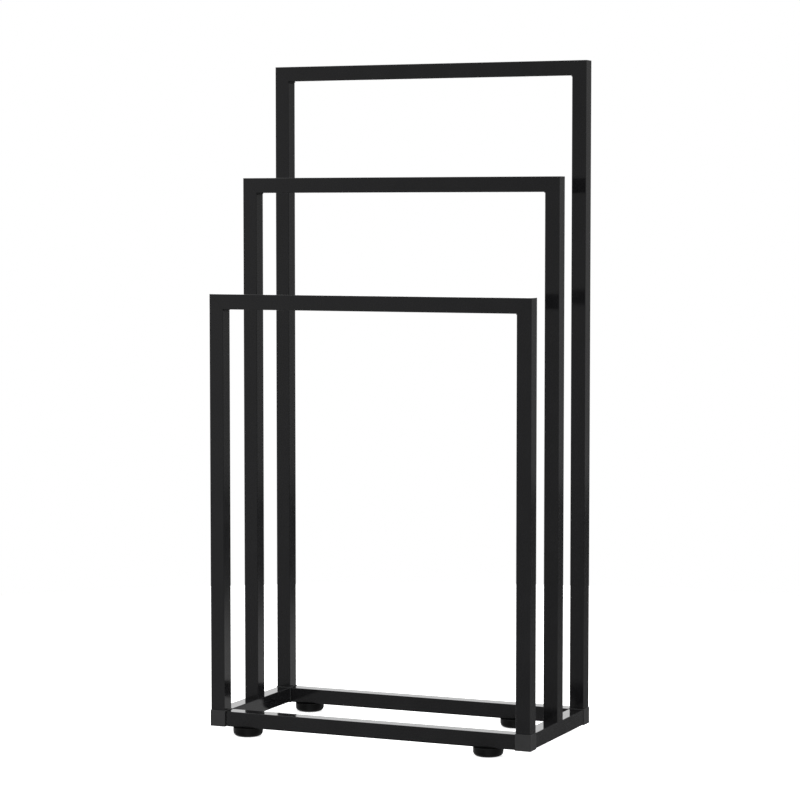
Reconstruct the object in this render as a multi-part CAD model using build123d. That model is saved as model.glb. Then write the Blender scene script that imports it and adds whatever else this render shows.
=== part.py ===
from build123d import *
import os

# Three-tier towel rack: three inverted-U frames of square steel tube, each taller than the one
# before it, stand on a rectangular base. Millimetres, +Z up, +X to the right, front towards -Y.
# The origin is on the floor, under the middle of the rack.

# Square tube
TUBE = 20.0
WALL = 1.0
EDGE_RADIUS = 0.7
BORE = TUBE - 2 * WALL
BORE_RADIUS = 0.4

# Rack
WIDTH = 454.0          # over the posts
DEPTH = 220.0          # over the front and rear frames
FOOT_HEIGHT = 12.0     # floor to the underside of the base rails
FRONT_RISE = 574.0     # underside of the base rails to the top of the front bar
TIER_STEP = 153.5      # each bar stands this much higher than the one in front
BASE_TOP = FOOT_HEIGHT + TUBE
POST_X = (WIDTH - TUBE) / 2
RAIL_Y = (DEPTH - TUBE) / 2
TIERS = {"front": (-RAIL_Y, 0), "middle": (0.0, 1), "rear": (RAIL_Y, 2)}
SIDES = {"left": -1, "right": 1}

# Corner connectors: a moulded cube with three arms that push into the tubes
CUBE = 21.6
CUBE_RADIUS = 0.6
JOINT_GAP = 0.3        # fine line between a cube and the end of a tube
OPEN_JOINT_GAP = 2.8   # the front rail stops short of its left cube
ARM = 14.0             # thinner than the bore: only the ribs touch the tube
ARM_LENGTH = 18.0
ARM_RADIUS = 1.6
ARM_CHAMFER = 1.2
CORE = 11.0            # moulded hollow in each arm
CORE_DEPTH = 14.0
RIB_WIDTH = 1.2
RIB_LENGTH = 14.0
RIB_SPREAD = 5.0
TUBE_START = CUBE / 2 + JOINT_GAP   # from a cube's centre to the end of a tube
BASE_Z = FOOT_HEIGHT + TUBE / 2

# M6 hardware
M6_RADIUS = 2.95
M6_HOLE_RADIUS = 3.0
M6_CLEARANCE_RADIUS = 3.3
BOLT_REACH = 16.0      # thread in the plug
HEAD_RADIUS = 5.25
HEAD_HEIGHT = 3.3
HEAD_EDGE = 1.6
SOCKET_SIDES = 6
SOCKET_FLATS = 4.0
SOCKET_DEPTH = 2.0
WASHER_RADIUS = 6.0
WASHER_THICK = 1.6
SEAT = BASE_TOP - WALL - WASHER_THICK   # the bolt's head bears up on the rail's upper wall
ACCESS_RADIUS = 6.6    # hole in the lower wall that lets head and washer in
PLUG = 17.8
PLUG_HEIGHT = 22.0

# Rivet nuts in the underside of the front and rear rails
NUT_HOLE_RADIUS = 4.5
NUT_BODY_RADIUS = 4.4
NUT_FLANGE_RADIUS = 5.2
NUT_FLANGE_THICK = 0.6
NUT_BULGE_RADIUS = 5.9
NUT_BULGE_HEIGHT = 2.4
NUT_BULGE_EDGE = 0.8
NUT_LENGTH = 11.0      # above the underside of the rail

# Levelling feet: a moulded shell turns freely on the head of a threaded stud
FOOT_RADIUS = 19.7
FOOT_TOP_EDGE = 0.8
FOOT_BOTTOM_EDGE = 6.5
SHELL_LIFT = 0.2       # the sole stands proud of the shell by this much
SOLE_RADIUS = 12.4
SOLE_THICK = 2.2
SOLE_EDGE = 0.15
SEAT_CLEARANCE = 0.05
STUD_HEAD_RADIUS = 8.0
STUD_HEAD_THICK = 1.6
STUD_PLAY = 0.1
STUD_TOP = 30.0
STUD_CHAMFER = 0.8
NUT_POCKET_RADIUS = 5.7
NUT_POCKET_DEPTH = 0.9
FOOT_PLACES = {
    "front_left": (-177.0, -RAIL_Y),
    "front_right": (166.0, -RAIL_Y),
    "rear_left": (-181.4, RAIL_Y),
    "rear_right": (125.0, RAIL_Y),
}

LEVEL = 0.001          # edges within this of a height lie at it


def square(side, radius):
    """A square outline with round corners."""
    return RectangleRounded(side, side, radius)


def tube(start, direction, length):
    """A straight square tube from start, along direction."""
    section = square(TUBE, EDGE_RADIUS) - square(BORE, BORE_RADIUS)
    across = (0, 0, 1) if direction[2] == 0 else (1, 0, 0)
    return extrude(Plane(origin=start, x_dir=across, z_dir=direction) * section, length)


def disc(radius, bottom, top, x=0.0, y=0.0):
    """An upright cylinder between two heights."""
    return Pos(x, y, bottom) * Cylinder(
        radius, top - bottom, align=(Align.CENTER, Align.CENTER, Align.MIN)
    )


def on_height(edges, height):
    """The edges that lie at one height."""
    return edges.filter_by_position(Axis.Z, height - LEVEL, height + LEVEL)


def top_of(tier):
    """The height of the top of a tier's bar."""
    return FOOT_HEIGHT + FRONT_RISE + TIERS[tier][1] * TIER_STEP


def mitre(tier, side):
    """The 45 degree plane through a frame's top outer corner, with the post below it."""
    outer_corner = (side * WIDTH / 2, TIERS[tier][0], top_of(tier))
    return Plane(origin=outer_corner, x_dir=(side, 0, 1), z_dir=(-side, 0, 1))


def post(tier, side):
    """An upright, open at the bottom and mitred at the top."""
    y = TIERS[tier][0]
    bottom = BASE_TOP if tier == "middle" else BASE_Z + TUBE_START
    top = top_of(tier)
    shape = tube((side * POST_X, y, bottom), (0, 0, 1), top - bottom)
    return split(shape, bisect_by=mitre(tier, side), keep=Keep.BOTTOM)


def bar(tier):
    """A towel bar, mitred to the posts at both ends."""
    shape = tube((-WIDTH / 2, TIERS[tier][0], top_of(tier) - TUBE / 2), (1, 0, 0), WIDTH)
    for side in SIDES.values():
        shape = split(shape, bisect_by=mitre(tier, side), keep=Keep.TOP)
    return shape


def cross_rail(y, row, left_gap):
    """A front or rear base rail, with a hole for each foot's rivet nut."""
    start = CUBE / 2 + left_gap - POST_X
    shape = tube((start, y, BASE_Z), (1, 0, 0), POST_X - TUBE_START - start)
    for name, (foot_x, foot_y) in FOOT_PLACES.items():
        if name.startswith(row):
            shape -= disc(NUT_HOLE_RADIUS, FOOT_HEIGHT - WALL, BASE_Z, foot_x, foot_y)
    return shape


def side_rail(side):
    """A side base rail, with a bolt hole in its upper wall and a wide access hole below it."""
    end = RAIL_Y - TUBE_START
    shape = tube((side * POST_X, -end, BASE_Z), (0, 1, 0), 2 * end)
    shape -= disc(M6_CLEARANCE_RADIUS, BASE_Z, BASE_TOP + TUBE, side * POST_X)
    return shape - disc(ACCESS_RADIUS, 0, BASE_Z, side * POST_X)


def arm():
    """A connector's arm along +Z from the cube's centre: hollow, with crush ribs on its sides."""
    tip = CUBE / 2 + ARM_LENGTH
    shape = extrude(square(ARM, ARM_RADIUS), tip)
    shape = chamfer(on_height(shape.edges(), tip), ARM_CHAMFER)
    rib = Box(RIB_WIDTH, BORE, RIB_LENGTH, align=(Align.CENTER, Align.CENTER, Align.MIN))
    for turn in (0, 90):
        for place in (-RIB_SPREAD, RIB_SPREAD):
            shape += Rot(0, 0, turn) * Pos(place, 0, TUBE_START + ARM_CHAMFER) * rib
    core = Box(CORE, CORE, CORE_DEPTH, align=(Align.CENTER, Align.CENTER, Align.MAX))
    return shape - Pos(0, 0, tip) * core


def corner(side, front):
    """A base corner connector: arms go up, inwards along X and inwards along Y."""
    cube = fillet(Box(CUBE, CUBE, CUBE).edges(), CUBE_RADIUS)
    shape = cube + arm() + Rot(0, -side * 90, 0) * arm() + Rot(front * 90, 0, 0) * arm()
    return Pos(side * POST_X, front * RAIL_Y, BASE_Z) * shape


def post_plug(side):
    """The threaded plug pressed into the bottom of a middle post."""
    height = PLUG_HEIGHT
    shape = extrude(square(PLUG, ARM_RADIUS), height)
    shape = chamfer(on_height(shape.edges(), height), ARM_CHAMFER)
    shape -= disc(M6_HOLE_RADIUS, 0, height)
    return Pos(side * POST_X, 0, BASE_TOP) * shape


def post_bolt(side):
    """The bolt that clamps a middle post down on its side rail, from inside the rail."""
    foot = SEAT - HEAD_HEIGHT
    head = disc(HEAD_RADIUS, foot, SEAT)
    head = fillet(on_height(head.edges(), foot), HEAD_EDGE)
    hexagon = RegularPolygon(SOCKET_FLATS / 2, SOCKET_SIDES, major_radius=False)
    socket = extrude(hexagon, SOCKET_DEPTH)
    shank = disc(M6_RADIUS, foot + SOCKET_DEPTH, BASE_TOP + BOLT_REACH)
    return Pos(side * POST_X, 0, 0) * (head - Pos(0, 0, foot) * socket + shank)


def post_washer(side):
    """A plain washer under a bolt's head."""
    ring = disc(WASHER_RADIUS, SEAT, SEAT + WASHER_THICK)
    ring -= disc(M6_CLEARANCE_RADIUS, 0, BASE_TOP)
    return Pos(side * POST_X, 0, 0) * ring


def rivet_nut(x, y):
    """A blind rivet nut: flange below the wall, crimped bulge above it, thread through."""
    inside = FOOT_HEIGHT + WALL
    shape = disc(NUT_FLANGE_RADIUS, FOOT_HEIGHT - NUT_FLANGE_THICK, FOOT_HEIGHT)
    shape += disc(NUT_BODY_RADIUS, FOOT_HEIGHT, FOOT_HEIGHT + NUT_LENGTH)
    bulge = disc(NUT_BULGE_RADIUS, inside, inside + NUT_BULGE_HEIGHT)
    shape += fillet(on_height(bulge.edges(), inside + NUT_BULGE_HEIGHT), NUT_BULGE_EDGE)
    shape -= disc(M6_HOLE_RADIUS, 0, BASE_TOP)
    return Pos(x, y, 0) * shape


def foot_shell(x, y):
    """The moulded shell of a foot: pocket for the stud's head below, for the nut's flange above."""
    shape = disc(FOOT_RADIUS, SHELL_LIFT, FOOT_HEIGHT)
    shape = fillet(on_height(shape.edges(), SHELL_LIFT), FOOT_BOTTOM_EDGE)
    shape = fillet(on_height(shape.edges(), FOOT_HEIGHT), FOOT_TOP_EDGE)
    pocket_top = SOLE_THICK + STUD_HEAD_THICK + 2 * STUD_PLAY
    shape -= disc(SOLE_RADIUS + SEAT_CLEARANCE, 0, SOLE_THICK)
    shape -= disc(STUD_HEAD_RADIUS + SEAT_CLEARANCE, 0, pocket_top)
    shape -= disc(M6_HOLE_RADIUS, 0, FOOT_HEIGHT)
    shape -= disc(NUT_POCKET_RADIUS, FOOT_HEIGHT - NUT_POCKET_DEPTH, FOOT_HEIGHT)
    return Pos(x, y, 0) * shape


def foot_sole(x, y):
    """The rubber disc that closes the shell and stands on the floor."""
    shape = disc(SOLE_RADIUS, 0, SOLE_THICK)
    return Pos(x, y, 0) * fillet(on_height(shape.edges(), 0), SOLE_EDGE)


def foot_stud(x, y):
    """The stud of a foot: a flat round head held in the shell, and an M6 thread in the nut."""
    bottom = SOLE_THICK + STUD_PLAY
    thread = disc(M6_RADIUS, bottom, STUD_TOP)
    thread = chamfer(on_height(thread.edges(), STUD_TOP), STUD_CHAMFER)
    return Pos(x, y, 0) * (disc(STUD_HEAD_RADIUS, bottom, bottom + STUD_HEAD_THICK) + thread)


def base_parts():
    """The rectangular base: four rails and four corner connectors."""
    parts = {
        "front_rail": cross_rail(-RAIL_Y, "front", OPEN_JOINT_GAP),
        "rear_rail": cross_rail(RAIL_Y, "rear", JOINT_GAP),
    }
    for name, side in SIDES.items():
        parts[f"{name}_side_rail"] = side_rail(side)
        parts[f"corner_front_{name}"] = corner(side, -1)
        parts[f"corner_rear_{name}"] = corner(side, 1)
    return parts


def frame_parts():
    """The three inverted-U frames: two posts and a bar each."""
    parts = {}
    for tier in TIERS:
        parts[f"{tier}_bar"] = bar(tier)
        for name, side in SIDES.items():
            parts[f"{tier}_post_{name}"] = post(tier, side)
    return parts


def fixing_parts():
    """What holds the middle posts on the side rails, and the nuts that the feet screw into."""
    both = SIDES.values()
    parts = {f"middle_post_plug_{name}": post_plug(side) for name, side in SIDES.items()}
    parts["middle_post_bolts"] = Compound(children=[post_bolt(side) for side in both])
    parts["middle_post_washers"] = Compound(children=[post_washer(side) for side in both])
    nuts = [rivet_nut(x, y) for x, y in FOOT_PLACES.values()]
    parts["foot_rivet_nuts"] = Compound(children=nuts)
    return parts


def foot_parts():
    """Four levelling feet."""
    parts = {}
    for name, (x, y) in FOOT_PLACES.items():
        parts[f"foot_shell_{name}"] = foot_shell(x, y)
        parts[f"foot_sole_{name}"] = foot_sole(x, y)
        parts[f"foot_stud_{name}"] = foot_stud(x, y)
    return parts


os.makedirs("parts", exist_ok=True)
for node, shape in (base_parts() | frame_parts() | fixing_parts() | foot_parts()).items():
    export_step(shape, f"parts/{node}.step")
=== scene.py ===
import math

import bmesh
import bpy
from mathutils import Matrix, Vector


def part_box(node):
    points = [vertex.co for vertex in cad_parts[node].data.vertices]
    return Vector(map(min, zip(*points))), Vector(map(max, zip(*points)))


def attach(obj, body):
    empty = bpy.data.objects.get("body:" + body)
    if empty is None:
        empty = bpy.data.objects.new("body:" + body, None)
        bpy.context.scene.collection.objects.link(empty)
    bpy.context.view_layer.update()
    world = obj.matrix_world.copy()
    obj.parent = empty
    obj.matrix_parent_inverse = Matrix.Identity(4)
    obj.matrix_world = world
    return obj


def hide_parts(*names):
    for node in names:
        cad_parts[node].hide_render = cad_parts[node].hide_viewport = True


# A free-standing towel rack: three frames of square tube, each taller than the one in front, on a
# base with moulded corners and four round feet. Metres, +Z up, +X to the right, front towards -Y.
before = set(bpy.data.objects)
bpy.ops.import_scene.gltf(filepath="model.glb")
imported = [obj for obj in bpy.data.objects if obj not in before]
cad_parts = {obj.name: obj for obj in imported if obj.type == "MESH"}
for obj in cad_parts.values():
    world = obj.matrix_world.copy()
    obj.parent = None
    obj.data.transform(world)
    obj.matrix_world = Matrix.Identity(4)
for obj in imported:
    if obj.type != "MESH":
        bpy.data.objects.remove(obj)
scene = bpy.context.scene
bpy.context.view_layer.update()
MM = 0.001


# Base rails
#
# Four lengths of 20 mm square steel tube, seam welded from strip at the mill, saw cut and drilled.
# They are sprayed with black powder, baked, and pushed on to the corner connectors.

COAT_BLACK = "#0d0d0e"
COAT_WORN_BLACK = "#141415"
PEEL = 2.6 * MM           # ripple to ripple in the baked coat
PEEL_DEPTH = 0.012 * MM
MOTTLE = 34 * MM          # patches of slightly thicker and thinner powder
SEED = 1.1 * MM           # nibs in the powder; really 0.3 mm, drawn coarser so that they show
MITRE_WIDTH = 1.8 * MM    # the ground weld that shows faintly through the coat
MITRE_RISE = 0.03 * MM
COAT_IOR = 1.33           # below the usual 1.5, to mirror the room as faintly as this coat does
COAT_ROUGHNESS = (0.07, 0.12)   # where the powder lies thin and where it lies thick
MIDDLING = (0.3, 0.7)     # the part of a noise pattern's range in which most of it lies


def colour(code):
    """An sRGB hex value as linear RGBA."""
    parts = [int(code[i:i + 2], 16) / 255 for i in (1, 3, 5)]
    linear = [c / 12.92 if c <= 0.04045 else ((c + 0.055) / 1.055) ** 2.4 for c in parts]
    return linear + [1.0]


def add(tree, kind, inputs=None, **settings):
    """Adds a node. An input is a value, or another node's output to link to it."""
    made = tree.nodes.new(kind)
    for name, value in settings.items():
        setattr(made, name, value)
    for socket, value in (inputs or {}).items():
        if isinstance(value, bpy.types.NodeSocket):
            tree.links.new(value, made.inputs[socket])
        else:
            made.inputs[socket].default_value = value
    return made


def new_material(name):
    """An empty node material and its tree."""
    made = bpy.data.materials.new(name)
    made.use_nodes = True
    made.node_tree.nodes.clear()
    return made, made.node_tree


def give(material, names):
    """Puts a material in the slots of CAD nodes."""
    for name in names:
        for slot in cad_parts[name].material_slots:
            slot.material = material


# Polyester powder coat on mild steel, sprayed and baked. Semi-gloss black that shows soft-edged
# reflections, with a faint orange peel, and a hint of the ground welds under it at each mitre.
powder_coat, tree = new_material("powder_coated_steel")
coords = add(tree, "ShaderNodeTexCoord").outputs["Object"]
place = add(tree, "ShaderNodeSeparateXYZ", {0: coords})
peel = add(tree, "ShaderNodeTexNoise", {"Vector": coords, "Scale": 1 / PEEL, "Detail": 1.0})
seed = add(tree, "ShaderNodeTexNoise", {"Vector": coords, "Scale": 1 / SEED, "Detail": 2.0})
mottle = add(tree, "ShaderNodeTexNoise", {"Vector": coords, "Scale": 1 / MOTTLE, "Detail": 3.0})
# A mitre is the plane where height less distance from the middle is the same as at the corner.
bar_tops = [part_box(tier + "_bar")[1].z for tier in ("front", "middle", "rear")]
half_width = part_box("middle_bar")[1].x
tier_depth = (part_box("rear_bar")[0].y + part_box("rear_bar")[1].y) / 2
tier = add(tree, "ShaderNodeMath", {0: place.outputs["Y"], 1: tier_depth}, operation="DIVIDE")
tier = add(tree, "ShaderNodeMath", {0: tier.outputs[0]}, operation="ROUND")
level = add(
    tree, "ShaderNodeMath",
    {0: tier.outputs[0], 1: bar_tops[2] - bar_tops[1], 2: bar_tops[1] - half_width},
    operation="MULTIPLY_ADD",
)
aside = add(tree, "ShaderNodeMath", {0: place.outputs["X"]}, operation="ABSOLUTE")
slope = add(
    tree, "ShaderNodeMath", {0: place.outputs["Z"], 1: aside.outputs[0]}, operation="SUBTRACT"
)
from_mitre = add(
    tree, "ShaderNodeMath", {0: slope.outputs[0], 1: level.outputs[0]}, operation="SUBTRACT"
)
from_mitre = add(tree, "ShaderNodeMath", {0: from_mitre.outputs[0]}, operation="ABSOLUTE")
on_mitre = add(
    tree, "ShaderNodeMapRange",
    {"Value": from_mitre.outputs[0], "From Min": 0.0, "From Max": MITRE_WIDTH,
     "To Min": 1.0, "To Max": 0.0},
    interpolation_type="SMOOTHSTEP",
)
shade = add(
    tree, "ShaderNodeMix",
    {0: mottle.outputs["Fac"], 6: colour(COAT_BLACK), 7: colour(COAT_WORN_BLACK)},
    data_type="RGBA",
)
gloss = add(
    tree, "ShaderNodeMapRange",
    {"Value": mottle.outputs["Fac"], "From Min": MIDDLING[0], "From Max": MIDDLING[1],
     "To Min": COAT_ROUGHNESS[0], "To Max": COAT_ROUGHNESS[1]},
)
seed_bump = add(
    tree, "ShaderNodeBump",
    {"Height": seed.outputs["Fac"], "Strength": 0.25, "Distance": PEEL_DEPTH},
)
peel_bump = add(
    tree, "ShaderNodeBump",
    {"Height": peel.outputs["Fac"], "Strength": 1.0, "Distance": PEEL_DEPTH,
     "Normal": seed_bump.outputs["Normal"]},
)
mitre_bump = add(
    tree, "ShaderNodeBump",
    {"Height": on_mitre.outputs[0], "Strength": 1.0, "Distance": MITRE_RISE,
     "Normal": peel_bump.outputs["Normal"]},
)
coat = add(
    tree, "ShaderNodeBsdfPrincipled",
    {"Base Color": shade.outputs[2], "Roughness": gloss.outputs[0], "IOR": COAT_IOR,
     "Normal": mitre_bump.outputs["Normal"]},
)
add(tree, "ShaderNodeOutputMaterial", {"Surface": coat.outputs[0]})

give(powder_coat, ["front_rail", "rear_rail", "left_side_rail", "right_side_rail"])


# Corner connectors
#
# Each is one nylon moulding: a cube that shows at the corner of the base, with three ribbed arms
# that press into the rails and the post. The mould is spark eroded, so the cube is finely matt.

NYLON_BLACK = "#171718"
NYLON_GREY = "#1e1e1f"
GRAIN = 1.2 * MM          # eroded texture; really 0.4 mm, drawn coarser so that it shows
GRAIN_DEPTH = 0.03 * MM
CLOUD = 9 * MM            # drift of the glass fibre's grey
NYLON_IOR = 1.45
NYLON_ROUGHNESS = (0.46, 0.58)

# Nylon with glass fibre, moulded against a spark-eroded face. A dark grey a little lighter than
# the coated tube beside it, with a soft, broad sheen and no clear reflections.
nylon, tree = new_material("moulded_nylon")
coords = add(tree, "ShaderNodeTexCoord").outputs["Object"]
grain = add(tree, "ShaderNodeTexVoronoi", {"Vector": coords, "Scale": 1 / GRAIN})
cloud = add(tree, "ShaderNodeTexNoise", {"Vector": coords, "Scale": 1 / CLOUD, "Detail": 4.0})
shade = add(
    tree, "ShaderNodeMix",
    {0: cloud.outputs["Fac"], 6: colour(NYLON_BLACK), 7: colour(NYLON_GREY)},
    data_type="RGBA",
)
sheen_spread = add(
    tree, "ShaderNodeMapRange",
    {"Value": cloud.outputs["Fac"], "From Min": MIDDLING[0], "From Max": MIDDLING[1],
     "To Min": NYLON_ROUGHNESS[0], "To Max": NYLON_ROUGHNESS[1]},
)
grain_bump = add(
    tree, "ShaderNodeBump",
    {"Height": grain.outputs["Distance"], "Strength": 1.0, "Distance": GRAIN_DEPTH},
)
plastic = add(
    tree, "ShaderNodeBsdfPrincipled",
    {"Base Color": shade.outputs[2], "Roughness": sheen_spread.outputs[0], "IOR": NYLON_IOR,
     "Normal": grain_bump.outputs["Normal"]},
)
add(tree, "ShaderNodeOutputMaterial", {"Surface": plastic.outputs[0]})

give(nylon, [f"corner_{row}_{side}" for row in ("front", "rear") for side in ("left", "right")])


# Frames
#
# Each frame is two posts and a bar of the same tube, cut at 45 degrees, welded, ground flush and
# coated. The front and rear frames push on to the corner connectors; the middle one stands on the
# side rails.

TIERS = ("front", "middle", "rear")
give(powder_coat, [f"{tier}_{part}" for tier in TIERS for part in ("post_left", "post_right", "bar")])


# Welds inside the frames' corners
#
# The inside of each corner keeps its weld, a small rippled bead laid across the tube by hand and
# coated over.

BEAD_LEG = 2.4 * MM
BEAD_WAIST = 0.78         # the middle of the bead against its legs
BEAD_INSET = 1.8 * MM     # clear of the tube's round edges
BEAD_ROOT = 0.3 * MM      # how far the bead bites into the steel
RIPPLE = 1.3 * MM
RIPPLE_DEPTH = 0.09
BEAD_FADE = 6             # how late and how much the bead thins towards its ends
BEAD_THINNING = 0.75
BEAD_ARC_STEP = 15        # degrees
BEAD_STEPS = 90
SEAM = 0.002 * MM         # corners nearer than this are one corner


def make_piece(mesh, name, material, body, slot_name, *stands_for):
    """Turns a bmesh into a piece that rides on a body."""
    bmesh.ops.remove_doubles(mesh, verts=mesh.verts, dist=SEAM)
    bmesh.ops.recalc_face_normals(mesh, faces=mesh.faces)
    data = bpy.data.meshes.new(name)
    mesh.to_mesh(data)
    mesh.free()
    data.materials.append(material)
    data.shade_smooth()
    piece = bpy.data.objects.new(name, data)
    scene.collection.objects.link(piece)
    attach(piece, body)
    if stands_for:
        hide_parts(*stands_for)
    return piece


def weld_bead(mesh, corner, inwards, length):
    """A bead along Y in a frame's inner corner, centred on it."""
    start = corner - Vector((0, length / 2, 0))
    root = mesh.verts.new(start + Vector((-inwards * BEAD_ROOT, 0, BEAD_ROOT)))
    edge = []
    for degrees in range(0, 90 + BEAD_ARC_STEP, BEAD_ARC_STEP):
        angle = math.radians(degrees)
        reach = BEAD_LEG * (BEAD_WAIST + (1 - BEAD_WAIST) * abs(math.cos(2 * angle)))
        edge.append(mesh.verts.new(
            start + Vector((inwards * math.cos(angle) * reach, 0, -math.sin(angle) * reach))
        ))
    ring = [root, *edge]
    lines = [mesh.edges.new((a, b)) for a, b in zip(ring, ring[1:] + ring[:1])]
    bmesh.ops.spin(
        mesh, geom=ring + lines, cent=start, axis=(0, 1, 0), dvec=(0, length / BEAD_STEPS, 0),
        angle=0, steps=BEAD_STEPS, use_merge=False, use_duplicate=False,
    )
    for v in [v for v in mesh.verts if (v.co - corner).length < length]:
        along = (v.co.y - corner.y) / length
        wave = math.sin(2 * math.pi * v.co.y / RIPPLE)
        swell = 1 + RIPPLE_DEPTH * wave
        taper = math.sqrt(1 - BEAD_THINNING * (2 * abs(along)) ** BEAD_FADE)
        v.co.x = corner.x + (v.co.x - corner.x) * swell * taper
        v.co.z = corner.z + (v.co.z - corner.z) * swell * taper
    bmesh.ops.holes_fill(mesh, edges=[e for e in mesh.edges if e.is_boundary], sides=0)


for tier_name in TIERS:
    beads = bmesh.new()
    bar_low, bar_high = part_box(tier_name + "_bar")
    width = bar_high.y - bar_low.y
    middle = (bar_low.y + bar_high.y) / 2
    for side_name, inwards in (("left", 1), ("right", -1)):
        post_low, post_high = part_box(f"{tier_name}_post_{side_name}")
        inner = post_high.x if side_name == "left" else post_low.x
        weld_bead(beads, Vector((inner, middle, bar_low.z)), inwards, width - 2 * BEAD_INSET)
    make_piece(beads, tier_name + "_frame_welds", powder_coat, "frame", "coated_tube")


# Fixings of the middle posts
#
# A threaded nylon plug is pressed into the foot of each middle post. A zinc-plated button-head
# screw and washer, put in through a wider hole in the rail's lower wall, clamp it on the upper wall.

ZINC_LIGHT = "#c3c6ca"
ZINC_DARK = "#9a9da3"
ZINC_PATCH = 2.5 * MM
ZINC_ROUGHNESS = (0.22, 0.38)
DING = 0.7 * MM           # tumbling marks
DING_DEPTH = 0.02 * MM

# Steel, machined and barrel plated with bright zinc. A cool silver with soft patches, as tumbling
# leaves it.
zinc, tree = new_material("zinc_plated_steel")
coords = add(tree, "ShaderNodeTexCoord").outputs["Object"]
patch = add(
    tree, "ShaderNodeTexNoise", {"Vector": coords, "Scale": 1 / ZINC_PATCH, "Detail": 4.0}
)
dings = add(tree, "ShaderNodeTexNoise", {"Vector": coords, "Scale": 1 / DING, "Detail": 2.0})
shade = add(
    tree, "ShaderNodeMix",
    {0: patch.outputs["Fac"], 6: colour(ZINC_DARK), 7: colour(ZINC_LIGHT)},
    data_type="RGBA",
)
spread = add(
    tree, "ShaderNodeMapRange",
    {"Value": patch.outputs["Fac"], "From Min": MIDDLING[0], "From Max": MIDDLING[1],
     "To Min": ZINC_ROUGHNESS[0], "To Max": ZINC_ROUGHNESS[1]},
)
ding_bump = add(
    tree, "ShaderNodeBump",
    {"Height": dings.outputs["Fac"], "Strength": 0.6, "Distance": DING_DEPTH},
)
plating = add(
    tree, "ShaderNodeBsdfPrincipled",
    {"Base Color": shade.outputs[2], "Metallic": 1.0, "Roughness": spread.outputs[0],
     "Normal": ding_bump.outputs["Normal"]},
)
add(tree, "ShaderNodeOutputMaterial", {"Surface": plating.outputs[0]})

give(nylon, ["middle_post_plug_left", "middle_post_plug_right"])
give(zinc, ["middle_post_bolts", "middle_post_washers"])


# Rivet nuts
#
# Four M6 rivet nuts, pulled tight in holes in the underside of the front and rear rails. Only
# their flanges show, and only when a foot is screwed out.

give(zinc, ["foot_rivet_nuts"])


# Foot shells
#
# Four round mouldings of black ABS, open below. The head of a stud sits in each and turns freely, so
# that the shell need not turn on the floor while the rack is being levelled.

ABS_BLACK = "#040404"
ABS_GREY = "#070707"
FLOW = 7 * MM             # faint flow marks of the moulding
SCUFF = 1.5 * MM
SCUFF_DEPTH = 0.02 * MM
ABS_IOR = 1.2             # below the usual 1.5, for shells that stay nearly black all round
ABS_ROUGHNESS = (0.3, 0.42)

# ABS, moulded against a satin face. Nearly black with a soft, weak highlight, and flow marks that
# only show as slight changes of gloss.
satin_abs, tree = new_material("moulded_abs")
coords = add(tree, "ShaderNodeTexCoord").outputs["Object"]
flow = add(tree, "ShaderNodeTexNoise", {"Vector": coords, "Scale": 1 / FLOW, "Detail": 3.0})
scuff = add(tree, "ShaderNodeTexNoise", {"Vector": coords, "Scale": 1 / SCUFF, "Detail": 4.0})
shade = add(
    tree, "ShaderNodeMix",
    {0: flow.outputs["Fac"], 6: colour(ABS_BLACK), 7: colour(ABS_GREY)},
    data_type="RGBA",
)
spread = add(
    tree, "ShaderNodeMapRange",
    {"Value": flow.outputs["Fac"], "From Min": MIDDLING[0], "From Max": MIDDLING[1],
     "To Min": ABS_ROUGHNESS[0], "To Max": ABS_ROUGHNESS[1]},
)
scuff_bump = add(
    tree, "ShaderNodeBump",
    {"Height": scuff.outputs["Fac"], "Strength": 0.3, "Distance": SCUFF_DEPTH},
)
plastic = add(
    tree, "ShaderNodeBsdfPrincipled",
    {"Base Color": shade.outputs[2], "Roughness": spread.outputs[0], "IOR": ABS_IOR,
     "Normal": scuff_bump.outputs["Normal"]},
)
add(tree, "ShaderNodeOutputMaterial", {"Surface": plastic.outputs[0]})

FEET = [f"{row}_{side}" for row in ("front", "rear") for side in ("left", "right")]
give(satin_abs, [f"foot_shell_{name}" for name in FEET])


# Foot studs
#
# Four M6 studs with round heads, cold headed from steel wire, thread rolled and plated like the
# screws. Each stands up out of its shell and screws into a rivet nut, a millimetre a turn.

THREAD_PITCH = 1.0 * MM
THREAD_ROOT = 2.4 * MM
THREAD_CREST = 2.95 * MM
# Radius against share of the pitch, up one turn of the rolled thread.
THREAD_SHAPE = (
    (THREAD_ROOT, 0.0), (THREAD_ROOT, 0.12), (THREAD_CREST, 0.44),
    (THREAD_CREST, 0.56), (THREAD_ROOT, 0.88), (THREAD_ROOT, 1.0),
)
THREAD_TURN_STEPS = 20
THREAD_SPARE_TURNS = 3    # cut off again, for square ends
THREAD_SUNK = 0.4 * MM    # how far the thread starts inside the head
CUT = 0.0001 * MM
STUD_POINT = 0.8 * MM     # the lead-in chamfer at the stud's top
HEAD_THICK = 1.6 * MM
HEAD_BEVEL = 0.25 * MM
HEAD_SIDES = 64
SHARP = math.radians(35)  # edges sharper than this stay crisp


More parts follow.
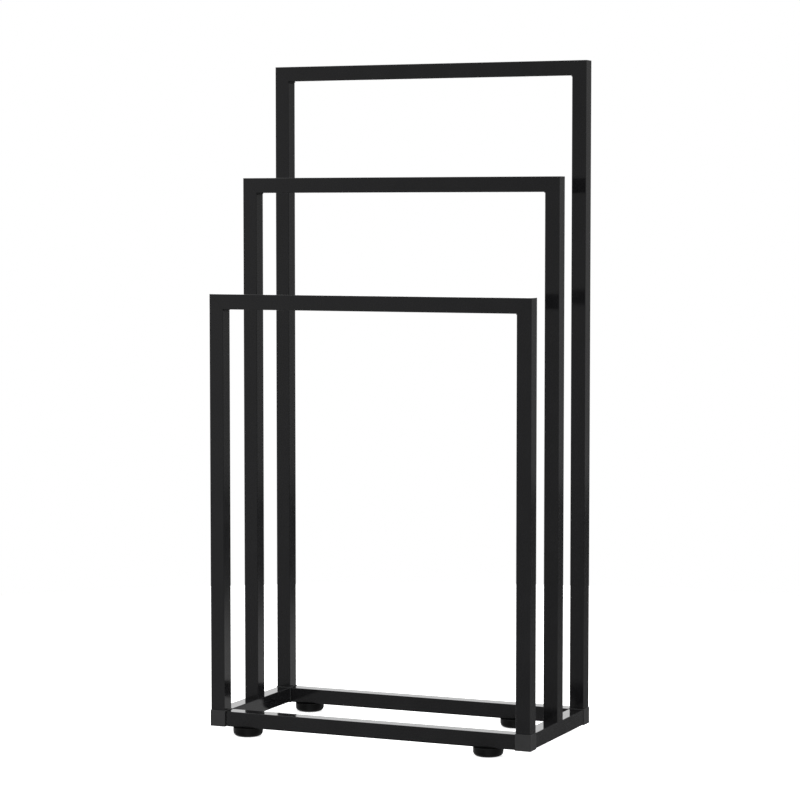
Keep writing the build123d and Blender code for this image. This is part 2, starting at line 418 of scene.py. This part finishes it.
def threaded_stud(mesh, low, high):
    """A stud with a round head below and a rolled thread above, from the CAD stud's box."""
    centre = (low + high) / 2
    head_top = low.z + HEAD_THICK
    bottom = head_top - THREAD_SUNK
    turns = math.ceil((high.z - bottom) / THREAD_PITCH) + THREAD_SPARE_TURNS
    first = bottom - THREAD_SPARE_TURNS / 2 * THREAD_PITCH
    chain = [
        mesh.verts.new((centre.x + radius, centre.y, first + share * THREAD_PITCH))
        for radius, share in THREAD_SHAPE
    ]
    lines = [mesh.edges.new(pair) for pair in zip(chain, chain[1:])]
    bmesh.ops.spin(
        mesh, geom=chain + lines, cent=centre, axis=(0, 0, 1),
        dvec=(0, 0, THREAD_PITCH / THREAD_TURN_STEPS), angle=2 * math.pi * turns,
        steps=turns * THREAD_TURN_STEPS, use_merge=False, use_duplicate=False,
    )
    bmesh.ops.remove_doubles(mesh, verts=mesh.verts, dist=SEAM)
    for height, outwards in ((bottom, -1), (high.z, 1)):
        bmesh.ops.bisect_plane(
            mesh, geom=mesh.verts[:] + mesh.edges[:] + mesh.faces[:], dist=CUT,
            plane_co=(0, 0, height), plane_no=(0, 0, outwards), clear_outer=True,
        )
    for v in mesh.verts:
        out = Vector((v.co.x - centre.x, v.co.y - centre.y, 0))
        room = THREAD_CREST - max(0.0, v.co.z - (high.z - STUD_POINT))
        if out.length > room:
            v.co -= out * (1 - room / out.length)
    bmesh.ops.holes_fill(mesh, edges=[e for e in mesh.edges if e.is_boundary], sides=0)
    head = bmesh.ops.create_cone(
        mesh, cap_ends=True, cap_tris=False, segments=HEAD_SIDES, radius1=(high.x - low.x) / 2,
        radius2=(high.x - low.x) / 2, depth=HEAD_THICK,
    )["verts"]
    bmesh.ops.translate(mesh, verts=head, vec=(centre.x, centre.y, low.z + HEAD_THICK / 2))
    sides = {e for v in head for e in v.link_edges}
    rims = [e for e in sides if abs(e.verts[0].co.z - e.verts[1].co.z) < CUT]
    bmesh.ops.bevel(
        mesh, geom=rims, offset=HEAD_BEVEL, affect="EDGES", segments=2, profile=0.5,
        material=-1,
    )


for name in FEET:
    stud = bmesh.new()
    threaded_stud(stud, *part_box(f"foot_stud_{name}"))
    made = make_piece(
        stud, f"threaded_stud_{name}", zinc, f"stud_{name}", "zinc_steel", f"foot_stud_{name}"
    )
    made.data.set_sharp_from_angle(angle=SHARP)


# Foot soles
#
# Four discs of black rubber, each pressed into the underside of a shell, where it also shuts in
# the stud's head. Three round grooves give it grip on a wet floor.

SOLE_GROOVES = (3.4, 6.4, 9.4)   # millimetres from the middle
GROOVE_WIDTH = 1.1 * MM
GROOVE_DEPTH = 0.7 * MM
GROOVE_DRAFT = 0.15 * MM  # each side of a groove leans by this, to leave the mould
SOLE_EDGE = 0.15 * MM
SOLE_STEPS = 96

RUBBER_BLACK = "#1c1c1c"
RUBBER_GREY = "#2e2e2d"
DUST = 0.8 * MM
DUST_DEPTH = 0.05 * MM
RUBBER_IOR = 1.5
RUBBER_ROUGHNESS = 0.82

# Synthetic rubber, compression moulded. Deep matt grey-black with a fine dusty grain.
rubber, tree = new_material("moulded_rubber")
coords = add(tree, "ShaderNodeTexCoord").outputs["Object"]
dust = add(tree, "ShaderNodeTexNoise", {"Vector": coords, "Scale": 1 / DUST, "Detail": 5.0})
shade = add(
    tree, "ShaderNodeMix",
    {0: dust.outputs["Fac"], 6: colour(RUBBER_BLACK), 7: colour(RUBBER_GREY)},
    data_type="RGBA",
)
dust_bump = add(
    tree, "ShaderNodeBump",
    {"Height": dust.outputs["Fac"], "Strength": 0.7, "Distance": DUST_DEPTH},
)
gum = add(
    tree, "ShaderNodeBsdfPrincipled",
    {"Base Color": shade.outputs[2], "Roughness": RUBBER_ROUGHNESS, "IOR": RUBBER_IOR,
     "Normal": dust_bump.outputs["Normal"]},
)
add(tree, "ShaderNodeOutputMaterial", {"Surface": gum.outputs[0]})


def ribbed_sole(mesh, low, high):
    """A round sole with three tread grooves in its underside, from the CAD sole's box."""
    centre = (low + high) / 2
    radius = (high.x - low.x) / 2
    profile = [(0.0, low.z)]
    for place in SOLE_GROOVES:
        near = place * MM - GROOVE_WIDTH / 2
        far = place * MM + GROOVE_WIDTH / 2
        profile += [
            (near, low.z), (near + GROOVE_DRAFT, low.z + GROOVE_DEPTH),
            (far - GROOVE_DRAFT, low.z + GROOVE_DEPTH), (far, low.z),
        ]
    turn_of_edge = (1 - math.sqrt(0.5)) * SOLE_EDGE
    profile += [
        (radius - SOLE_EDGE, low.z), (radius - turn_of_edge, low.z + turn_of_edge),
        (radius, low.z + SOLE_EDGE), (radius, high.z), (0.0, high.z),
    ]
    chain = [mesh.verts.new((centre.x + out, centre.y, up)) for out, up in profile]
    lines = [mesh.edges.new(pair) for pair in zip(chain, chain[1:])]
    bmesh.ops.spin(
        mesh, geom=chain + lines, cent=centre, axis=(0, 0, 1), dvec=(0, 0, 0),
        angle=2 * math.pi, steps=SOLE_STEPS, use_merge=True, use_duplicate=False,
    )


for name in FEET:
    sole = bmesh.new()
    ribbed_sole(sole, *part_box(f"foot_sole_{name}"))
    made = make_piece(
        sole, f"ribbed_sole_{name}", rubber, f"foot_{name}", "sole_rubber", f"foot_sole_{name}"
    )
    made.data.set_sharp_from_angle(angle=SHARP)


# Studio
#
# The rack stands on a round white floor in a white studio. The light is soft all round, brightest
# overhead and behind to the left, and dimmer to the right, so that the black tubes keep their edges.

WHITE = (1.0, 1.0, 1.0, 1.0)
FLOOR_RADIUS = 1.5
FLOOR_SIDES = 128
FLOOR_WHITE = "#f4f4f4"
FLOOR_GLOW = 0.75

# A height here is height over distance, as seen from the rack: 1 overhead and -1 straight down. A
# bearing is in degrees, 0 behind the rack and 90 to its right.
TOP_LIGHT = 1.7
TOP_HEIGHTS = (0.25, 0.8)      # where the wall gives way to the light overhead
LOW_LIGHT = 0.45               # what is left of the wall's light far down
LOW_HEIGHTS = (-0.3, -0.03)    # where that grows to all of it
# Bearing and how bright the wall is there.
ROUND_LIGHT = (
    (-180, 0.4), (-160, 0.56), (-150, 0.88), (-90, 0.9), (-55, 1.3), (-40, 1.5), (-17, 1.5),
    (-2, 0.5), (10, 0.28), (22, 0.3), (45, 0.45), (90, 0.6), (150, 0.5), (180, 0.4),
)
# White paper on the floor, behind and to the right: bearing and how much light it adds there.
SWEEP_LIGHT = ((-180, 0.0), (22, 0.0), (26, 0.5), (45, 0.5), (90, 0.0), (180, 0.0))
SWEEP_HEIGHTS = (-0.135, -0.15)
# A dark skirting at the foot of the wall there: bearing and how much of it is seen.
SKIRTING_SPAN = ((-180, 0.0), (2, 0.0), (10, 1.0), (50, 1.0), (75, 0.0), (180, 0.0))
SKIRTING_TOP = -0.1
SKIRTING_FOOT = -0.17
SKIRTING_BLUR = 0.004
SKIRTING_DARK = 0.25           # what it leaves of the wall's light at its top
SKIRTING_LIGHT = 0.8           # and at its foot


def set_stops(ramp, stops):
    """Sets a ramp to grey stops, each a bearing in degrees and a strength."""
    ramp.interpolation = "EASE"
    for degrees, strength in stops:
        stop = ramp.elements.new((degrees + 180) / 360)
        stop.color = (strength, strength, strength, 1.0)
    ramp.elements.remove(ramp.elements[0])
    ramp.elements.remove(ramp.elements[-1])


floor_mesh = bmesh.new()
bmesh.ops.create_circle(floor_mesh, cap_ends=True, segments=FLOOR_SIDES, radius=FLOOR_RADIUS)
floor_data = bpy.data.meshes.new("studio_floor")
floor_mesh.to_mesh(floor_data)
floor_mesh.free()
floor = bpy.data.objects.new("studio_floor", floor_data)
scene.collection.objects.link(floor)
floor.visible_glossy = False

# Opal sheet, lit from below as well, like a light table. Dead matt, with only a faint shadow, and
# clear from below so that the rack's underside can be looked at.
opal, tree = new_material("opal_sheet")
flat = add(tree, "ShaderNodeBsdfDiffuse", {"Color": colour(FLOOR_WHITE)})
glow = add(tree, "ShaderNodeEmission", {"Color": WHITE, "Strength": FLOOR_GLOW})
lit = add(tree, "ShaderNodeAddShader", {0: flat.outputs[0], 1: glow.outputs[0]})
clear = add(tree, "ShaderNodeBsdfTransparent")
from_below = add(tree, "ShaderNodeNewGeometry").outputs["Backfacing"]
one_way = add(
    tree, "ShaderNodeMixShader", {0: from_below, 1: lit.outputs[0], 2: clear.outputs[0]}
)
add(tree, "ShaderNodeOutputMaterial", {"Surface": one_way.outputs[0]})
floor_data.materials.append(opal)

world = bpy.data.worlds.new("studio")
scene.world = world
world.use_nodes = True
tree = world.node_tree
tree.nodes.clear()
direction = add(tree, "ShaderNodeTexCoord").outputs["Generated"]
towards = add(tree, "ShaderNodeSeparateXYZ", {0: direction})
bearing = add(
    tree, "ShaderNodeMath", {0: towards.outputs["X"], 1: towards.outputs["Y"]},
    operation="ARCTAN2",
)
turn = add(
    tree, "ShaderNodeMapRange",
    {"Value": bearing.outputs[0], "From Min": -math.pi, "From Max": math.pi,
     "To Min": 0.0, "To Max": 1.0},
)
around = add(tree, "ShaderNodeValToRGB", {"Fac": turn.outputs[0]})
set_stops(around.color_ramp, ROUND_LIGHT)
low = add(
    tree, "ShaderNodeMapRange",
    {"Value": towards.outputs["Z"], "From Min": LOW_HEIGHTS[0], "From Max": LOW_HEIGHTS[1],
     "To Min": LOW_LIGHT, "To Max": 1.0},
)
dimmed = add(
    tree, "ShaderNodeMix",
    {0: 1.0, 6: around.outputs["Color"], 7: low.outputs[0]},
    data_type="RGBA", blend_type="MULTIPLY",
)
sweep = add(tree, "ShaderNodeValToRGB", {"Fac": turn.outputs[0]})
set_stops(sweep.color_ramp, SWEEP_LIGHT)
below = add(
    tree, "ShaderNodeMapRange",
    {"Value": towards.outputs["Z"], "From Min": SWEEP_HEIGHTS[0],
     "From Max": SWEEP_HEIGHTS[1], "To Min": 0.0, "To Max": 1.0},
)
lift = add(
    tree, "ShaderNodeMath", {0: sweep.outputs["Color"], 1: below.outputs[0]},
    operation="MULTIPLY",
)
skirting = add(
    tree, "ShaderNodeMapRange",
    {"Value": towards.outputs["Z"], "From Min": SKIRTING_FOOT, "From Max": SKIRTING_TOP,
     "To Min": SKIRTING_LIGHT, "To Max": SKIRTING_DARK},
)
under_its_top = add(
    tree, "ShaderNodeMapRange",
    {"Value": towards.outputs["Z"], "From Min": SKIRTING_TOP + SKIRTING_BLUR,
     "From Max": SKIRTING_TOP - SKIRTING_BLUR, "To Min": 0.0, "To Max": 1.0},
)
span = add(tree, "ShaderNodeValToRGB", {"Fac": turn.outputs[0]})
set_stops(span.color_ramp, SKIRTING_SPAN)
reach = add(
    tree, "ShaderNodeMath", {0: span.outputs["Color"], 1: under_its_top.outputs[0]},
    operation="MULTIPLY",
)
shadow = add(
    tree, "ShaderNodeMix", {0: reach.outputs[0], 2: 1.0, 3: skirting.outputs[0]},
    data_type="FLOAT",
)
skirted = add(
    tree, "ShaderNodeMix", {0: 1.0, 6: dimmed.outputs[2], 7: shadow.outputs[0]},
    data_type="RGBA", blend_type="MULTIPLY",
)
walls = add(
    tree, "ShaderNodeMix", {0: 1.0, 6: skirted.outputs[2], 7: lift.outputs[0]},
    data_type="RGBA", blend_type="ADD",
)
overhead = add(
    tree, "ShaderNodeMapRange",
    {"Value": towards.outputs["Z"], "From Min": TOP_HEIGHTS[0], "From Max": TOP_HEIGHTS[1],
     "To Min": 0.0, "To Max": 1.0},
    interpolation_type="SMOOTHSTEP",
)
sky = add(
    tree, "ShaderNodeMix",
    {0: overhead.outputs[0], 6: walls.outputs[2], 7: (TOP_LIGHT, TOP_LIGHT, TOP_LIGHT, 1.0)},
    data_type="RGBA",
)
studio_light = add(tree, "ShaderNodeBackground", {"Color": sky.outputs[2], "Strength": 1.0})
backdrop = add(tree, "ShaderNodeBackground", {"Color": WHITE, "Strength": 1.0})
seen = add(tree, "ShaderNodeLightPath").outputs["Is Camera Ray"]
both = add(
    tree, "ShaderNodeMixShader", {0: seen, 1: studio_light.outputs[0], 2: backdrop.outputs[0]}
)
add(tree, "ShaderNodeOutputWorld", {"Surface": both.outputs[0]})
scene.view_settings.view_transform = "Standard"


# Camera
#
# A long lens in front of the rack and to its right, at three quarters of its height, tilted down.

CAMERA_PLACE = (1.4514, -3.3375, 0.6888)
CAMERA_TURN = 23.5121     # degrees, to the left of straight ahead
CAMERA_DIP = 3.8276       # degrees, below level
SENSOR_WIDTH = 36.0       # millimetres
FOCAL_LENGTH = 123.84
lens = bpy.data.cameras.new("camera")
lens.sensor_width = SENSOR_WIDTH
lens.lens = FOCAL_LENGTH
camera = bpy.data.objects.new("camera", lens)
scene.collection.objects.link(camera)
camera.location = CAMERA_PLACE
camera.rotation_euler = (math.radians(90 - CAMERA_DIP), 0.0, math.radians(CAMERA_TURN))
scene.camera = camera
